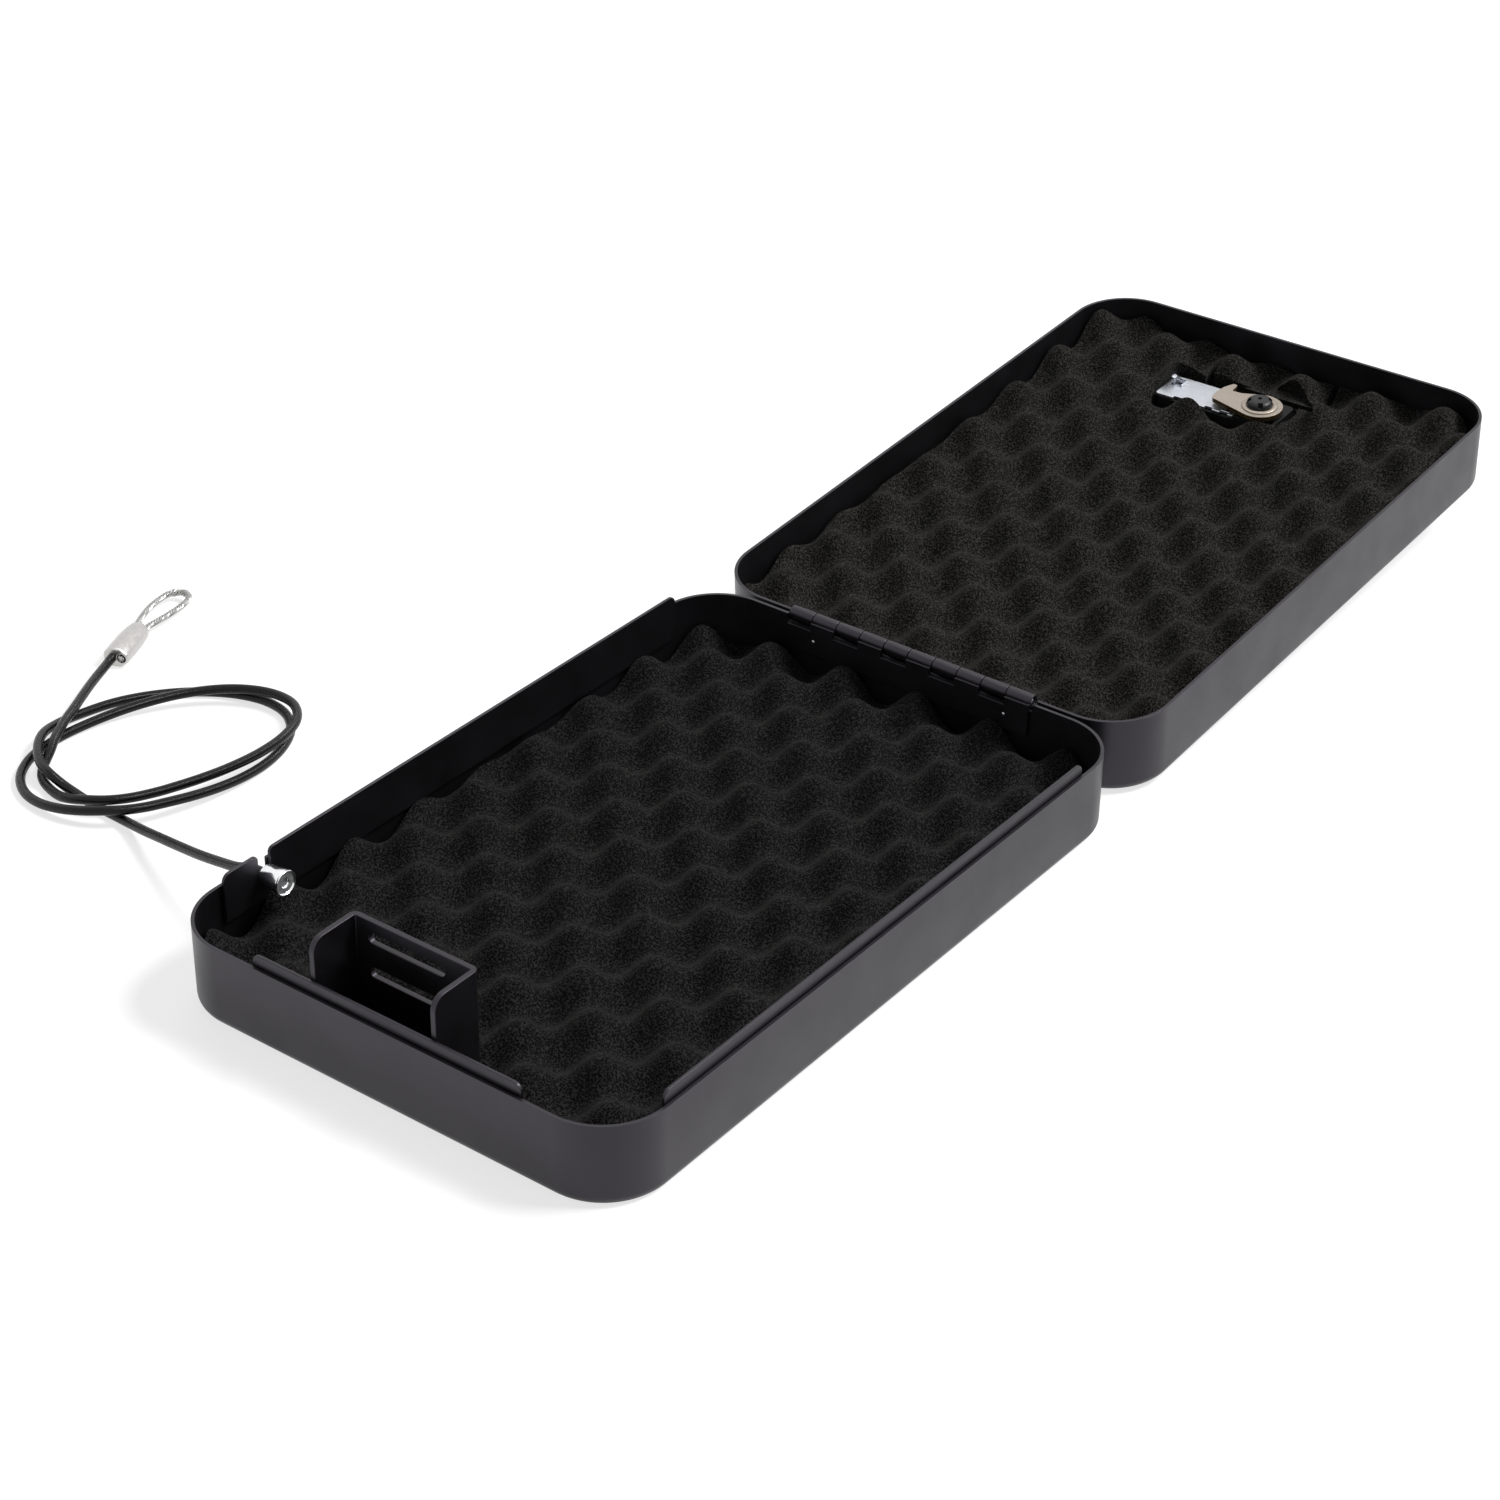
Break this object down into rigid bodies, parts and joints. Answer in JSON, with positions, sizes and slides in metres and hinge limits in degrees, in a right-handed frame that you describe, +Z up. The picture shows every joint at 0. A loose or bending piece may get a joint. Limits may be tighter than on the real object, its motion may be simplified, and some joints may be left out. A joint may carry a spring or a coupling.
{
  "type": "portable car safe",
  "caption": "Slim hinged steel car safe, open and flat, with a dial lock in the lid, egg-crate foam in both shells and a looped steel security cable.",
  "frame": {"origin": "centre of the underside of the base tray", "axes": "+X to the right along the front wall, +Y from the front wall to the hinge, +Z up"},
  "size_m": [0.3686, 0.5629, 0.0499],
  "materials": {
    "powder_coat": "satin black powder coat",
    "foam": "open-cell charcoal foam",
    "zinc": "bright zinc plate",
    "nickel": "warm nickel plate",
    "steel": "bright steel",
    "chrome": "polished chrome",
    "aluminium": "pressed aluminium",
    "cast_zinc": "black die-cast",
    "black_plastic": "satin black plastic",
    "brass": "turned brass",
    "cable_coat": "glossy black coating"
  },
  "bodies": {
    "base": {"base_tray": "powder_coat", "front_lip_strip": "powder_coat", "right_lip_strip": "powder_coat", "left_lip_strip": "powder_coat", "latch_bracket": "powder_coat", "base_foam": "foam", "hinge_base_leaf": "powder_coat", "hinge_pin": "steel", "cable_stop": "chrome", "cable_lead": "cable_coat", "cable_loops": "cable_coat", "cable_tail": "cable_coat", "eye_ferrule": "aluminium", "eye_loop": "steel"},
    "lid": {"lid_tray": "powder_coat", "hinge_lid_leaf": "powder_coat", "lid_foam": "foam", "lock_bezel": "cast_zinc", "lock_case": "cast_zinc", "lock_cover_plate": "zinc", "dial_axle": "steel", "locking_bar": "steel", "detent_spring": "steel", "lock_screw_1": "steel", "lock_screw_2": "steel"},
    "knob": {"turn_knob": "black_plastic", "knob_spindle": "steel", "cam_washer": "steel", "hook_cam": "nickel", "cam_cap": "black_plastic"},
    "dial_one": {"dial_1": "black_plastic", "gate_sleeve_1": "brass"},
    "dial_two": {"dial_2": "black_plastic", "gate_sleeve_2": "brass"},
    "dial_three": {"dial_3": "black_plastic", "gate_sleeve_3": "brass"},
    "slider": {"code_slider": "zinc"}
  },
  "joints": [
    {"name": "lid_hinge", "type": "hinge", "parent": "base", "child": "lid", "pos_m": [-0.0002, 0.14085, 0.0302], "axis": [1, 0, 0], "range_deg": [0, 175.93]},
    {"name": "knob_turn", "type": "hinge", "parent": "lid", "child": "knob", "pos_m": [0.003, 0.38573, 0.03138], "axis": [0, 0.071, -0.9975], "range_deg": [0, 90]},
    {"name": "dial_one_turn", "type": "hinge", "parent": "lid", "child": "dial_one", "pos_m": [-0.031, 0.38696, 0.02114], "axis": [1, 0, 0], "continuous": true},
    {"name": "dial_two_turn", "type": "hinge", "parent": "lid", "child": "dial_two", "pos_m": [-0.0237, 0.38696, 0.02114], "axis": [1, 0, 0], "continuous": true},
    {"name": "dial_three_turn", "type": "hinge", "parent": "lid", "child": "dial_three", "pos_m": [-0.0164, 0.38696, 0.02114], "axis": [1, 0, 0], "continuous": true},
    {"name": "code_slide", "type": "slide", "parent": "lid", "child": "slider", "axis": [1, 0, 0], "range_m": [0, 0.0025]}
  ]
}
